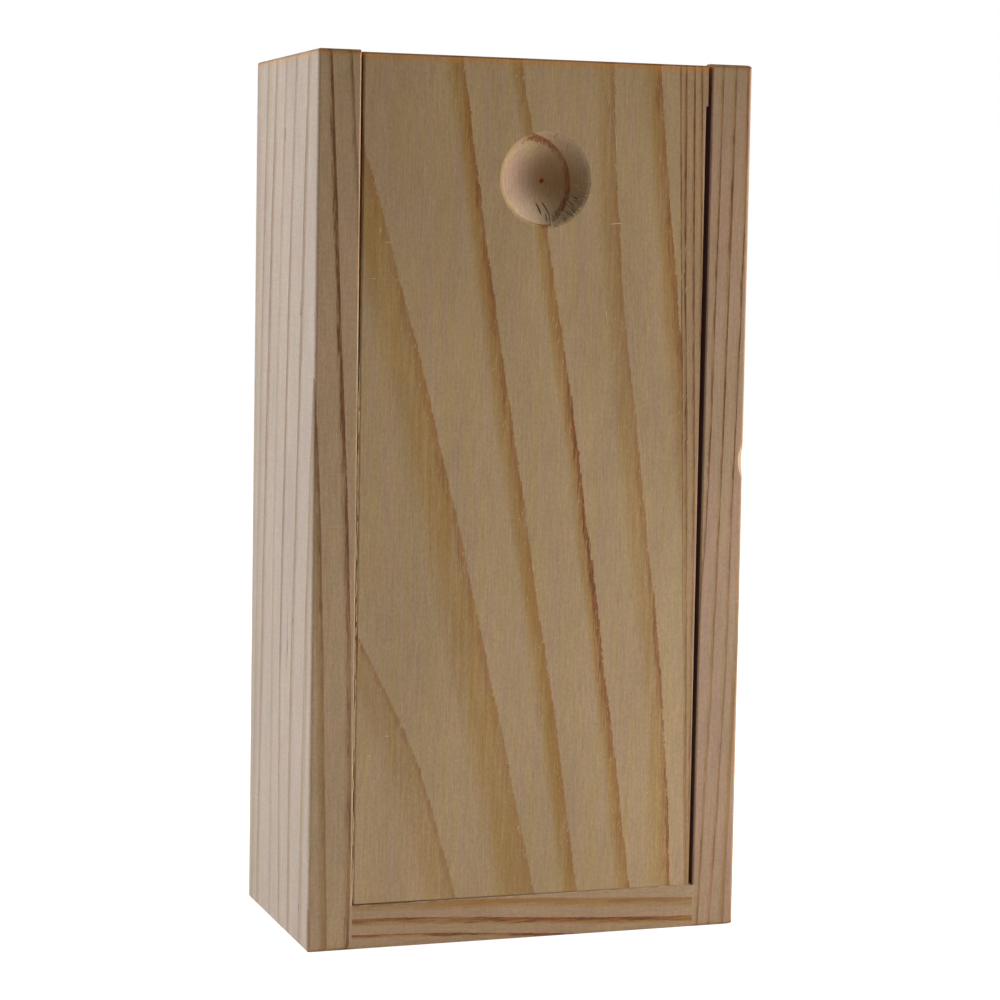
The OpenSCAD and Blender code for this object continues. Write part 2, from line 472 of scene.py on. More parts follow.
class Grain:
    """A board's place in the log, as sockets of one node tree."""

    # The curve's own scale: where the first station lies on it, how much of it all five
    # take up, and how many mm its height stands for.
    FIRST = 0.1
    SPAN = 0.8
    REACH = 400.0

    def __init__(self, tree: Tree, billet: Billet) -> None:
        """Takes the box's own position apart into along, across and depth, in mm.

        Args:
            tree: The node tree.
            billet: The board's piece of log.
        """
        self.tree = tree
        self.billet = billet
        place = add(tree, "ShaderNodeTexCoord").node
        self.normal = place.outputs["Normal"]
        scaled = add(
            tree, VECTOR, {"operation": "SCALE"}, {"Vector": place.outputs["Object"], "Scale": 1 / MM}
        )
        axes = add(tree, "ShaderNodeSeparateXYZ", None, {0: scaled}).node.outputs
        self.along = axes[billet.along.value]
        self.across = axes[billet.across.value]
        self.depth = axes[billet.depth.value]
        low, high = billet.stations
        step = self.SPAN / (high - low)
        self.t = add(tree, MATH, TIMES_PLUS, {0: self.along, 1: step, 2: self.FIRST - step * low})

    def noise(self, length: float, width: float, detail: float = 2.0, shift: float = 0.0) -> Socket:
        """Makes noise drawn out along the grain.

        Args:
            length: Size of its features along the grain, in mm.
            width: Their size across the grain, in mm.
            detail: How many finer layers it has.
            shift: Moves it in the log, so that two patterns differ.

        Returns:
            The noise, from 0 to 1.
        """
        places = [
            add(self.tree, MATH, TIMES_PLUS, {0: axis, 1: 1 / size, 2: shift + offset})
            for axis, size, offset in (
                (self.along, length, 3.1), (self.across, width, 17.3), (self.depth, width, 29.7)
            )
        ]
        spot = add(self.tree, "ShaderNodeCombineXYZ", None, {"X": places[0], "Y": places[1], "Z": places[2]})
        return add(
            self.tree, NOISE, None, {"Vector": spot, "Scale": 1.0, "Detail": detail, "Roughness": 0.55}
        )

    def facing(self, axis: Axis) -> Socket:
        """Finds how far the surface faces along one of the box's axes, from -1 to 1."""
        way = [0.0, 0.0, 0.0]
        way[axis.value] = 1.0
        facing = add(self.tree, VECTOR, {"operation": "DOT_PRODUCT"}, {0: self.normal, 1: way})
        return facing.node.outputs["Value"]

    def end_grain(self) -> Socket:
        """Finds where the surface cuts across the fibres.

        Returns:
            0 on a face along the grain, 1 on end grain.
        """
        facing = add(self.tree, MATH, UNSIGNED, {0: self.facing(self.billet.along)})
        return self.spread(facing, 0.35, 0.95)

    def curve(self, readings: tuple[float, ...]) -> Socket:
        """Runs a smooth curve along the board through a reading at each station.

        Args:
            readings: The five readings, in mm.

        Returns:
            The curve's value at each place along the board.
        """
        curve = add(self.tree, "ShaderNodeFloatCurve", None, {"Value": self.t}).node
        mapping = curve.mapping
        mapping.use_clip = False
        mapping.extend = "EXTRAPOLATED"
        points = mapping.curves[0].points
        for i, reading in enumerate(readings):
            place = (self.FIRST + self.SPAN / 4 * i, reading / self.REACH + 0.5)
            if i < 2:
                points[i].location = place
            else:
                points.new(*place)
        mapping.update()
        return add(self.tree, MATH, TIMES_PLUS, {0: curve.outputs[0], 1: self.REACH, 2: -self.REACH / 2})

    def distance(self) -> Socket:
        """Works out which ring each point is in, with the strays of real rings.

        Returns:
            The place across at which the point's ring meets the face, in mm.
        """
        tree, b = self.tree, self.billet
        if b.saw is Saw.PEELED:
            wave = self.noise(110.0, 26.0, detail=1.0, shift=7.0)
            out = add(tree, MATH, TIMES, {0: wave, 1: 60.0})
        else:
            deep = add(tree, MATH, MINUS, {0: self.depth, 1: b.face})
            lean = self.curve(b.lean)
            if b.saw is Saw.FLAT:
                bend = add(tree, MATH, TIMES_PLUS, {0: self.across, 1: b.bow, 2: 1.0})
                lean = add(tree, MATH, TIMES, {0: lean, 1: bend})
            out = add(tree, MATH, TIMES_PLUS, {0: deep, 1: lean, 2: self.across})
        # Each stray's length and width and how far it goes, in mm: slow, torn and stepped.
        for length, width, size, shift in (
            (22.0, 4.0, b.wander, 11.0), (2.6, 0.26, b.feather, 23.0), (0.5, 1.6, b.feather * 0.5, 31.0)
        ):
            stray = self.noise(length, width, detail=1.0, shift=shift)
            stray = add(tree, MATH, MINUS, {0: stray, 1: 0.5})
            out = add(tree, MATH, TIMES_PLUS, {0: stray, 1: 2 * size, 2: out})
        return out

    def summer_wood(self) -> tuple[Socket, Socket]:
        """Counts the rings outward and finds the summer wood of each.

        Returns:
            How golden the wood is, and how strong the thin line at a ring's edge is.
        """
        tree, b = self.tree, self.billet
        out = self.distance()
        # In mm, beyond every place in the box. A ramp holds places as shares of it.
        far = 1000.0
        inward, passed = far, 0.0
        for ring in b.rings:
            ahead = add(tree, MATH, MINUS, {0: self.curve(ring.marks), 1: out})
            behind = add(tree, MATH, {"operation": "LESS_THAN"}, {0: ahead, 1: 0.0})
            passed = add(tree, MATH, {"operation": "ADD"}, {0: behind, 1: passed})
            ahead = add(tree, MATH, TIMES_PLUS, {0: behind, 1: far, 2: ahead})
            inward = add(tree, MATH, {"operation": "MINIMUM"}, {0: ahead, 1: inward})

        widest = max(ring.band for ring in b.rings)
        look = self.per_ring(passed, [(r.band / widest, r.gold, r.dark, r.line / widest) for r in b.rings])
        band, gold, dark = add(tree, "ShaderNodeSeparateColor", None, {0: look}).node.outputs
        line = look.node.outputs["Alpha"]
        heart = self.per_ring(passed, [(r.darkest / far,) * 3 + (1.0,) for r in b.rings])

        # The gold is full at the ring's edge and comes and goes along the grain.
        band = add(tree, MATH, TIMES, {0: band, 1: widest})
        glow = add(tree, MATH, {"operation": "DIVIDE"}, {0: inward, 1: band})
        glow = self.spread(glow, 1.1, 0.45)
        patchy = self.noise(32.0, 0.9, detail=3.0, shift=61.0)
        for factor in (self.spread(patchy, 0.34, 0.6, (0.5, 1.0), soft=False), gold):
            glow = add(tree, MATH, TIMES, {0: glow, 1: factor})

        line = add(tree, MATH, TIMES, {0: line, 1: widest})
        if b.saw is Saw.FLAT:
            # A slope cuts into the end of the fibres, and a line soaks out to three times
            # its width there.
            level = add(tree, MATH, UNSIGNED, {0: self.facing(b.depth)})
            soaked = self.spread(level, 1.0, 0.85, (1.0, 3.0), soft=False)
            line = add(tree, MATH, TIMES, {0: line, 1: soaked})
            dark = add(tree, MATH, TIMES, {0: dark, 1: soaked})
        thin = add(tree, MATH, {"operation": "DIVIDE"}, {0: inward, 1: line})
        torn = self.noise(5.0, 0.32, detail=2.0, shift=71.0)
        torn = add(tree, MATH, MINUS, {0: torn, 1: 0.5})
        thin = add(tree, MATH, TIMES_PLUS, {0: torn, 1: 2.2, 2: thin})
        thin = self.spread(thin, 1.15, 0.35)
        mottle = self.noise(16.0, 1.2, detail=3.0, shift=51.0)
        mottle = self.spread(mottle, 0.34, 0.56, (0.35, 1.0), soft=False)
        # A line fades away from its darkest place, over some 60 mm.
        heart = add(tree, "ShaderNodeRGBToBW", None, {0: heart})
        away = add(tree, MATH, TIMES_PLUS, {0: heart, 1: -far, 2: self.along})
        away = add(tree, MATH, UNSIGNED, {0: away})
        season = self.spread(away, 62.0, 14.0, (0.5, 1.0))
        for factor in (mottle, season):
            thin = add(tree, MATH, TIMES, {0: thin, 1: factor})
        thin = add(tree, MATH, {"operation": "MULTIPLY", "use_clamp": True}, {0: thin, 1: dark})
        return glow, thin

    def per_ring(self, passed: Socket, looks: list[tuple[float, ...]]) -> Socket:
        """Holds one colour for each ring, in a ramp with one step per ring.

        Args:
            passed: How many ring edges lie inside the point.
            looks: Each ring's colour, counted outward.

        Returns:
            The colour of the point's ring.
        """
        steps = len(looks) + 1
        which = add(self.tree, MATH, TIMES_PLUS, {0: passed, 1: 1 / steps, 2: 0.5 / steps})
        held = add(self.tree, "ShaderNodeValToRGB", None, {"Fac": which})
        ramp = held.node.color_ramp
        ramp.interpolation = "CONSTANT"
        for i, look in enumerate((*looks, looks[-1])):
            stop = ramp.elements[0] if i == 0 else ramp.elements.new(i / steps)
            stop.color = look
        ramp.elements.remove(ramp.elements[-1])
        return held

    def spread(
        self, value: Socket, low: float, high: float,
        ends: tuple[float, float] = (0.0, 1.0), soft: bool = True,
    ) -> Socket:
        """Spreads a value's middle part over a new range, and holds it to that range.

        Args:
            value: What is spread.
            low: What becomes the first of the ends.
            high: What becomes the second.
            ends: The ends of the new range.
            soft: Whether the value eases into its ends.

        Returns:
            The spread value.
        """
        return add(
            self.tree, RANGE, SOFT if soft else None,
            {"Value": value, "From Min": low, "From Max": high, "To Min": ends[0], "To Max": ends[1]},
        )


# ------------------------------------------------------------------ the boards' logs


LID_LOG = Billet(
    saw=Saw.FLAT,
    stations=(10.0, 174.0),
    face=-24.8,
    lean=(-3.8,) * 5, bow=-0.004,
    wander=0.5, feather=0.42,
    rings=(
        Ring((-46.0, -66.0, -98.0, -138.0, -178.0), 5.0, 0.5, 1.0, 0.3, 40.0),
        Ring((-15.0, -29.7, -56.0, -95.0, -140.0), 7.5, 0.5, 1.2, 0.4, 45.0),
        Ring((1.5, -7.7, -17.6, -28.5, -41.0), 9.0, 0.8, 1.9, 0.5, 96.0),
        Ring((10.8, 4.3, -2.7, -9.6, -16.0), 3.8, 0.95, 1.6, 0.75, 132.0),
        Ring((22.0, 16.4, 10.2, 3.4, -3.8), 3.0, 0.9, 1.4, 1.0, 80.0),
        Ring((30.9, 28.1, 23.0, 18.0, 15.5), 4.8, 0.7, 1.3, 0.85, 30.0),
        Ring((45.0, 39.2, 34.0, 29.4, 25.3), 4.0, 0.85, 1.8, 0.7, 140.0),
    ),
)

STRIP_LOG = Billet(
    face=-24.8,
    lean=(0.2,) * 5,
    wander=0.08, feather=0.06,
    rings=(
        Ring((31.5, 30.4, 29.2, 28.1, 27.2), 0.9, 0.6, 0.55, 0.9, 140.0),
        Ring((33.2, 32.0, 30.8, 29.6, 28.6), 0.9, 0.6, 0.55, 0.9, 140.0),
        Ring((34.1, 33.0, 32.05, 30.9, 29.85), 0.8, 0.6, 0.55, 1.0, 140.0),
        Ring((34.7, 33.8, 33.0, 31.8, 31.1), 0.9, 0.6, 0.6, 1.2, 140.0),
        Ring((35.4, 34.9, 34.6, 33.6, 32.85), 0.8, 0.5, 0.55, 1.2, 140.0),
        Ring((36.2, 36.0, 35.75, 35.2, 34.4), 0.8, 0.5, 0.5, 0.9, 140.0),
        Ring((38.0, 37.8, 37.4, 36.8, 36.0), 0.8, 0.5, 0.5, 0.7),
    ),
)

LEFT_LOG = Billet(
    across=Axis.Y, depth=Axis.X,
    face=-45.0,
    lean=(1.9, 1.9, 1.85, 2.1, 2.4),
    wander=0.35, feather=0.16,
    rings=(
        Ring((-24.6, -27.0, -30.0, -34.5, -40.0), 2.6, 0.5, 1.5, 1.0),
        Ring((-17.8, -19.7, -22.3, -26.6, -31.5), 3.4, 1.0, 1.5, 0.8, 96.0),
        Ring((-8.8, -9.4, -12.2, -14.6, -17.6), 3.0, 0.6, 2.0, 1.6, 125.0),
        Ring((-1.4, -0.6, -2.3, -4.8, -7.9), 2.4, 0.6, 1.7, 1.4, 90.0),
        Ring((6.2, 6.0, 5.2, 2.8, -0.4), 2.6, 0.4, 1.4, 0.7, 160.0),
        Ring((16.5, 15.0, 13.2, 10.6, 7.6), 3.0, 0.6, 2.1, 1.3, 125.0),
        Ring((21.0, 20.0, 18.5, 16.8, 14.2), 3.6, 0.5, 1.4, 0.8, 140.0),
        Ring((27.5, 26.0, 24.6, 23.5, 22.6), 4.6, 0.5, 1.2, 0.6, 150.0),
        Ring((36.0, 34.5, 33.0, 31.5, 30.0), 2.2, 0.4, 1.0, 0.6),
        Ring((43.0, 41.5, 40.0, 38.5, 37.5), 1.8, 0.4, 1.0, 0.6),
    ),
)

RIGHT_LOG = Billet(
    face=-25.0,
    lean=(-0.42,) * 5,
    wander=0.12, feather=0.08,
    rings=(
        Ring((13.6, 15.4, 16.9, 18.2, 19.3), 1.0, 0.5, 0.5, 0.6),
        Ring((16.1, 17.9, 19.4, 20.7, 21.8), 1.0, 0.5, 0.5, 0.8),
        Ring((19.2, 21.0, 22.4, 23.8, 24.9), 1.0, 0.5, 0.5, 0.6),
        Ring((21.6, 23.4, 24.8, 26.1, 27.2), 1.0, 0.5, 0.5, 0.8),
        Ring((24.6, 26.2, 27.6, 29.0, 30.1), 1.0, 0.5, 0.5, 0.7),
        Ring((27.2, 28.9, 30.4, 31.7, 32.8), 1.0, 0.5, 0.5, 0.8),
        Ring((29.8, 31.6, 33.1, 34.4, 35.4), 1.0, 0.4, 0.5, 0.6),
        Ring((33.6, 35.6, 37.6, 38.3, 38.85), 1.0, 0.4, 0.5, 1.1, 120.0),
        Ring((37.7, 39.3, 40.4, 41.1, 41.7), 1.1, 0.5, 0.6, 1.3, 120.0),
        Ring((40.4, 42.2, 43.0, 44.0, 44.35), 1.0, 0.4, 0.5, 1.1, 120.0),
        Ring((43.25, 44.5, 45.8, 46.5, 47.0), 1.2, 0.7, 0.7, 0.7),
    ),
)

FOOT_LOG = Billet(
    along=Axis.X, across=Axis.Z,
    stations=(-36.0, 36.0),
    face=-25.0,
    lean=(0.3,) * 5,
    wander=0.1, feather=0.12,
    rings=(
        Ring((-8.6, -9.6, -10.8, -11.8, -13.0), 1.0, 0.6, 0.5, 0.6),
        Ring((-5.1, -6.1, -7.3, -8.3, -9.5), 1.0, 0.6, 0.5, 0.7),
        Ring((-1.6, -2.6, -3.8, -4.8, -6.0), 1.0, 0.5, 0.5, 0.6),
        Ring((3.1, 2.45, 1.2, 0.1, -1.0), 0.9, 0.7, 0.6, 1.6, -15.0),
        Ring((6.3, 5.65, 4.5, 3.35, 2.6), 1.6, 1.0, 1.1, 1.2, 0.0),
        Ring((9.6, 9.0, 8.3, 7.3, 6.3), 2.0, 0.9, 1.0, 0.5, 10.0),
        Ring((13.0, 12.4, 11.7, 10.9, 10.2), 1.0, 0.5, 0.5, 0.6),
    ),
)

HEAD_LOG = Billet(
    along=Axis.X, across=Axis.Z,
    stations=(-36.0, 36.0),
    face=25.0,
    lean=(0.35, 0.32, 0.3, 0.3, 0.3),
    wander=0.15, feather=0.1,
    rings=(
        Ring((153.9, 154.3, 155.0, 155.6, 156.1), 0.9, 0.7, 0.5, 0.7),
        Ring((157.2, 157.6, 158.1, 158.8, 159.4), 0.8, 0.7, 0.5, 0.7),
        Ring((160.2, 160.5, 161.0, 161.8, 162.4), 1.0, 0.7, 0.5, 0.6),
        Ring((163.4, 164.0, 164.5, 165.0, 165.4), 0.8, 0.7, 0.5, 0.8),
        Ring((166.9, 167.2, 167.7, 168.3, 168.9), 1.1, 0.7, 0.5, 0.6),
        Ring((170.4, 170.8, 171.3, 171.8, 172.1), 0.9, 0.7, 0.5, 0.7),
        Ring((173.2, 173.9, 174.4, 174.9, 175.5), 1.0, 0.7, 0.5, 0.8),
        Ring((176.9, 177.2, 177.9, 178.5, 178.9), 1.0, 0.7, 0.5, 0.6),
    ),
)

BACK_LOG = Billet(
    saw=Saw.PEELED,
    face=22.0,
    wander=0.4, feather=0.15,
    rings=tuple(
        Ring((place,) * 5, band, 0.5, 0.4, 0.25)
        for place, band in (
            (18.0, 2.0), (21.5, 1.4), (25.0, 2.2), (28.0, 1.2), (32.0, 2.4), (35.0, 1.4), (39.0, 2.0)
        )
    ),
)


# ------------------------------------------------------------------ the pieces


@dataclass(frozen=True)
class TornFibre:
    """Loose or torn fibres, which stand off the wood or leave a cut in it.

    To the eye: a pale one catches the light like a short bright hair, and a dark one is
    painted shade, a dark sheet that stands for the shadow in a cut.
    """

    name: str
    tint: str
    tip: str
    roughness: float = 0.55

    def build(self) -> bpy.types.Material:
        """Makes the material, streaked along its length and a little see-through.

        Returns:
            The node material.
        """
        material = blank(self.name)
        tree = material.node_tree
        place = add(tree, "ShaderNodeTexCoord").node.outputs["Object"]
        streak = add(tree, NOISE, None, {"Vector": place, "Scale": 0.6 / MM, "Detail": 2.0})
        colour = add(
            tree, MIX, BLEND, {"Factor": streak, "A": linear(self.tint), "B": linear(self.tip)}
        )
        bump = add(tree, "ShaderNodeBump", None, {"Strength": 0.4, "Distance": 0.05 * MM, "Height": streak})
        rough = add(tree, MATH, TIMES_PLUS, {0: streak, 1: 0.15, 2: self.roughness})
        shader = add(
            tree, "ShaderNodeBsdfPrincipled", None,
            {"Base Color": colour, "Roughness": rough, "Normal": bump, "Specular IOR Level": 0.4,
             "Subsurface Weight": 0.3, "Subsurface Radius": (1.0, 0.5, 0.2), "Subsurface Scale": 0.3 * MM},
        )
        add(tree, "ShaderNodeOutputMaterial", None, {"Surface": shader})
        return material


@dataclass(frozen=True)
class Sliver:
    """One fibre on a face of the box, in mm.

    Start and end are (x, z) seen from the front. Width is at its middle, lift how far
    its free end stands off the surface, and bow how far it bends to one side.
    """

    start: tuple[float, float]
    end: tuple[float, float]
    width: float = 0.2
    lift: float = 0.1
    bow: float = 0.1


@dataclass
class Fibres:
    """A bundle of fibres of one finish that ride on one body.

    Height is how far a fibre's back rises above the face, as a share of half its width.
    """

    name: str
    body: str
    slot: str
    finish: TornFibre
    slivers: list[Sliver]
    surface: Callable[[float, float], float]
    across: Axis = Axis.X
    segments: int = 6
    height: float = 0.6

    # How far a fibre's underside and its tips are sunk into the face, in mm.
    SUNK = 0.03
    SUNK_TIP = 0.02

    def build(self) -> bpy.types.Object:
        """Makes all the bundle's fibres as one mesh.

        Returns:
            The mesh object, riding on its body.
        """
        shape = bmesh.new()
        for sliver in self.slivers:
            self._sweep(shape, sliver)
        thing = solidify(self.name, shape)
        thing.data.polygons.foreach_set("use_smooth", [True] * len(thing.data.polygons))
        paint(thing, self.finish.build())
        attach(thing, self.body)
        return thing

    def _sweep(self, shape: bmesh.types.BMesh, sliver: Sliver) -> None:
        """Sweeps a three-sided section, pointed at both ends, along one fibre.

        Args:
            shape: The mesh under construction.
            sliver: The fibre.
        """
        start, end = Vector(sliver.start), Vector(sliver.end)
        run = end - start
        side = Vector((-run.y, run.x)).normalized()
        loops = []
        for i in range(1, self.segments):
            t = i / self.segments
            half = sliver.width / 2 * math.sin(math.pi * t) ** 0.6
            spot = start + run * t + side * sliver.bow * math.sin(math.pi * t)
            deep = self.surface(spot.x, spot.y)
            lift = sliver.lift * t * t
            foot = deep - lift + self.SUNK
            corners = (
                (spot - side * half, foot), (spot + side * half, foot),
                (spot, deep - lift - half * self.height),
            )
            loops.append([self._vertex(shape, corner, depth) for corner, depth in corners])
        tips = [
            self._vertex(shape, tip, self.surface(tip.x, tip.y) - lift + self.SUNK_TIP)
            for tip, lift in ((start, 0.0), (end, sliver.lift))
        ]
        for before, after in zip(loops, loops[1:]):
            for i in range(3):
                j = (i + 1) % 3
                shape.faces.new((before[i], before[j], after[j], after[i]))
        for tip, loop in ((tips[0], loops[0]), (tips[1], loops[-1])):
            for i in range(3):
                shape.faces.new((loop[(i + 1) % 3], loop[i], tip))
        bmesh.ops.recalc_face_normals(shape, faces=shape.faces)

    def _vertex(self, shape: bmesh.types.BMesh, spot: Vector, depth: float) -> bmesh.types.BMVert:
        """Adds one vertex, at a spot of the face this bundle lies on.

        Args:
            shape: The mesh under construction.
            spot: Across and up, in mm.
            depth: Its place on the third axis, in mm.

        Returns:
            The vertex.
        """
        place = (spot.x, depth, spot.y) if self.across is Axis.X else (depth, spot.x, spot.y)
        return shape.verts.new([MM * v for v in place])


@dataclass
class Carcass:
    """The glued box: two sides, two ends and the back panel in their grooves."""

    nodes: dict
    body: str = "carcass"

    # The arris of the left board beside the lid, and of the foot below it, in mm.
    LEFT_ARRIS = -35.98
    FOOT_ARRIS = 8.86

    # Where fibres lie, in mm: nicks a hair outside the left face, and frayed ones just
    # inside the front edges, whose arrises are rounded.
    LEFT_FACE = -45.02
    FRONT = -24.93

    def dress(self) -> None:
        """Gives each board its own piece of pine."""
        finishes = {
            "left_side": BarePine(
                "sanded_pine_left_side", LEFT_LOG, pale="c7ac88", rosy="c9aa8c", gold="b08e60", rust="8a5a36",
                fibre=0.12, painted_sheen=0.45, saw_marks=0.5, painted_glow_end=175.0,
            ),
            "right_side": BarePine(
                "sanded_pine_right_side", RIGHT_LOG, pale="c0a585", rosy="c3a18a", rust="8f6240", fibre=0.12,
                painted_glow_end=175.0, painted_glow_share=0.3, gap_wall=-1,
            ),
            "bottom_end": BarePine(
                "sanded_pine_foot", FOOT_LOG, pale="c4a986", rosy="c6a58a", fibre=0.11, saw_marks=0.8
            ),
            "top_end": BarePine("sanded_pine_head", HEAD_LOG, fibre=0.11, saw_marks=0.3),
            "back_panel": BarePine(
                "peeled_plywood_back", BACK_LOG, pale="d2b68c", rosy="cfae88", gold="c59c66", fibre=0.07
            ),
        }
        for node, finish in finishes.items():
            paint(self.nodes[node], finish.build())
        self.fray()

    def fray(self) -> None:
        """Frays the furry sawn arrises in pale fibres, partly a painted highlight, and paints shade of nicks
        on the left face.
        """
        # The pale fibres are frayed fuzz, and partly a painted highlight along the lit arris lines.
        pale = TornFibre("frayed_pine_arris_highlight", "dcc39b", "ead9b8")
        left = []
        for _ in range(90):
            low = random.uniform(8.0, 112.0)
            place = self.LEFT_ARRIS + random.uniform(-0.08, 0.05)
            left.append(
                Sliver(
                    (place, low), (place + random.uniform(-0.1, 0.1), low + random.uniform(1.0, 4.0)),
                    width=random.uniform(0.1, 0.22), lift=0.0, bow=random.uniform(-0.08, 0.08),
                )
            )
        Fibres("left_arris_fray_highlight", self.body, "pine_side", pale, left, self.front).build()
        foot = []
        for _ in range(46):
            start = random.uniform(-35.5, 33.0)
            foot.append(
                Sliver(
                    (start, self.FOOT_ARRIS + random.uniform(-0.08, 0.06)),
                    (start + random.uniform(1.0, 3.5), self.FOOT_ARRIS + random.uniform(-0.08, 0.06)),
                    width=random.uniform(0.08, 0.18), lift=0.0, bow=random.uniform(-0.05, 0.05),
                )
            )
        Fibres("foot_arris_fray_highlight", self.body, "pine_end", pale, foot, self.front).build()

        # Dark dashes lying on the left face are painted shade of saw nicks.
        dashes = [
            Sliver((-7.2, 66.0), (-6.9, 51.0), 0.22, 0.0, 0.2),
            Sliver((-7.6, 60.0), (-6.8, 55.5), 0.16, 0.0, -0.1),
            Sliver((-11.5, 64.3), (-10.9, 62.2), 0.3, 0.0, 0.1),
            Sliver((-18.6, 8.6), (-18.2, 6.9), 0.3, 0.0, 0.1),
            Sliver((-16.2, 124.3), (-13.2, 124.0), 0.2, 0.0, 0.05),
            Sliver((-14.2, 126.6), (-14.0, 123.4), 0.2, 0.0, 0.05),
            Sliver((-0.9, 161.0), (-0.6, 157.5), 0.45, 0.0, 0.1),
        ]
        dark = TornFibre("saw_nick_shade", "6b5138", "8a6e50")
        Fibres(
            "left_face_nick_shade", self.body, "pine_side", dark, dashes, self.side, across=Axis.Y, height=0.12
        ).build()

    def side(self, y: float, z: float) -> float:
        """Gives the place in mm at which nicks lie on the left face."""
        return self.LEFT_FACE

    def front(self, x: float, z: float) -> float:
        """Gives the depth in mm at which fibres lie on the front edges."""
        return self.FRONT


@dataclass
class Lid:
    """The sliding lid: a wide flat-sawn board with a narrow strip glued to its edge."""

    nodes: dict
    body: str = "lid"
    face: float = -24.8
    recess: tuple[float, float] = (1.5, 151.1)

    # The recess is a ball cut: its rim's radius, the ball's, and where the ball's centre is.
    RIM = 9.5
    BALL = 15.6
    BALL_CENTRE = -37.4

    # The wide board between its edges, and how far up broken fibres lie, in mm.
    BOARD = (-35.3, 28.5)
    BOARD_TOP = 172.0

    def dress(self) -> None:
        """Gives board and strip their own pieces of pine."""
        board = BarePine(
            "planed_pine_lid", LID_LOG, fibre=0.12, saw_marks=0.12, sheen=0.1, painted_glow_end=174.5,
            thumb=self.recess,
        )
        strip = BarePine(
            "planed_pine_lid_strip", STRIP_LOG, pale="c3a47c", rosy="c39f80", rust="8f6238", fibre=0.11,
            saw_marks=0.3, sheen=0.1, painted_glow_end=174.5, gap_wall=1,
        )
        paint(self.nodes["lid_board"], board.build())
        paint(self.nodes["lid_edge_strip"], strip.build())
        self.splinter()
        self.tear_recess()

    def level(self, x: float, z: float) -> float:
        """Gives the depth in mm of the lid's surface, in its recess or outside it."""
        away = math.hypot(x - self.recess[0], z - self.recess[1])
        if away >= self.RIM:
            return self.face
        return max(self.face, self.BALL_CENTRE + math.sqrt(self.BALL**2 - away**2))

    def splinter(self) -> None:
        """Lays the splinters and hairs that the planer left on the face and at the gap."""
        pale = TornFibre("raised_pine_fibre", "e2cda6", "f0e4c8")
        slivers = [
            Sliver((14.8, 142.6), (17.6, 142.9), 0.26, 0.12, 0.1),
            Sliver((14.4, 125.9), (14.6, 124.1), 0.16, 0.1, 0.15),
            Sliver((14.7, 124.3), (15.0, 123.2), 0.12, 0.1, -0.1),
            Sliver((-12.5, 121.7), (-12.4, 119.7), 0.14, 0.08, 0.05),
            Sliver((-5.9, 162.8), (-5.6, 161.2), 0.12, 0.08, 0.1),
            Sliver((15.2, 165.1), (16.1, 156.2), 0.14, 0.05, 0.25),
            Sliver((-31.6, 138.3), (-29.9, 138.2), 0.12, 0.1, 0.1),
            Sliver((-34.2, 131.3), (-32.8, 131.2), 0.12, 0.1, 0.1),
            Sliver((-32.3, 79.8), (-31.9, 79.6), 0.16, 0.1, 0.05),
            Sliver((-33.5, 38.4), (-32.6, 38.3), 0.14, 0.1, 0.05),
            Sliver((-30.0, 42.2), (-29.0, 42.0), 0.14, 0.1, 0.1),
        ]
        Fibres("lid_splinters", self.body, "pine_lid", pale, slivers, self.level).build()
        # Single broken fibres lie thickest along the ring edges, where summer wood breaks.
        broken = TornFibre("broken_summer_wood", "d8ac70", "efd9b0")
        slivers = []
        low, high = LID_LOG.stations
        for edge in LID_LOG.rings[1:]:
            for _ in range(80):
                t = random.uniform(0.0, 4.0)
                i = min(int(t), 3)
                place = edge.marks[i] + (edge.marks[i + 1] - edge.marks[i]) * (t - i)
                across = place - random.expovariate(1 / 1.1) + random.uniform(-0.3, 0.3)
                if not self.BOARD[0] < across < self.BOARD[1]:
                    continue
                up = low + (high - low) / 4 * t
                away = math.hypot(across - self.recess[0], up - self.recess[1])
                if away < self.RIM + 1.5 or up > self.BOARD_TOP:
                    continue
                length = random.uniform(0.4, 1.6)
                turn = random.gauss(0.12, 0.35)
                slivers.append(
                    Sliver(
                        (across, up), (across + length * math.sin(turn), up + length * math.cos(turn)),
                        random.uniform(0.08, 0.17), random.uniform(0.0, 0.1), random.uniform(-0.08, 0.08),
                    )
                )
        Fibres("lid_broken_fibres", self.body, "pine_lid", broken, slivers, self.level).build()
        strip = []
        for _ in range(30):
            up = random.uniform(98.0, 150.0)
            place = random.gauss(30.6 + (150 - up) * 0.03, 0.8)
            length = random.uniform(0.8, 1.8)
            strip.append(
                Sliver(
                    (place, up), (place + length * 0.34, up + length * 0.94),
                    random.uniform(0.06, 0.12), random.uniform(0.02, 0.12), random.uniform(-0.1, 0.1),
                )
            )
        Fibres("strip_splinters", self.body, "pine_lid_strip", pale, strip, self.level).build()

    def tear_recess(self) -> None:
        """Tears the end grain at the lower right of the recess, as the cutter left it."""
        # The dark slivers are painted shade in the tears and scratches; the pale ones are their raised lips.
        dark = TornFibre("torn_pine_cut_shade", "2f1d10", "5a3b20")
        pale = TornFibre("torn_pine_lip", "d8bd92", "e8d5b0")
        cx, cz = self.recess
        cuts = [
            Sliver((0.1, 146.9), (1.2, 144.0), 0.45, 0.0, 0.1),
            Sliver((1.3, 147.1), (2.9, 144.1), 0.38, 0.0, 0.15),
            Sliver((3.7, 160.3), (3.0, 158.9), 0.2, 0.0, 0.05),
            Sliver((6.2, 158.5), (5.9, 157.0), 0.18, 0.0, 0.05),
            Sliver((4.8, 144.3), (6.0, 143.2), 0.22, 0.0, 0.05),
            Sliver((6.7, 145.5), (7.9, 144.6), 0.22, 0.0, 0.05),
        ]
        lips = [
            Sliver((3.5, 142.9), (4.3, 141.7), 0.2, 0.1, 0.05),
            Sliver((4.0, 142.7), (4.8, 141.8), 0.16, 0.1, 0.05),
            Sliver((9.6, 148.2), (11.2, 148.4), 0.16, 0.1, 0.05),
        ]
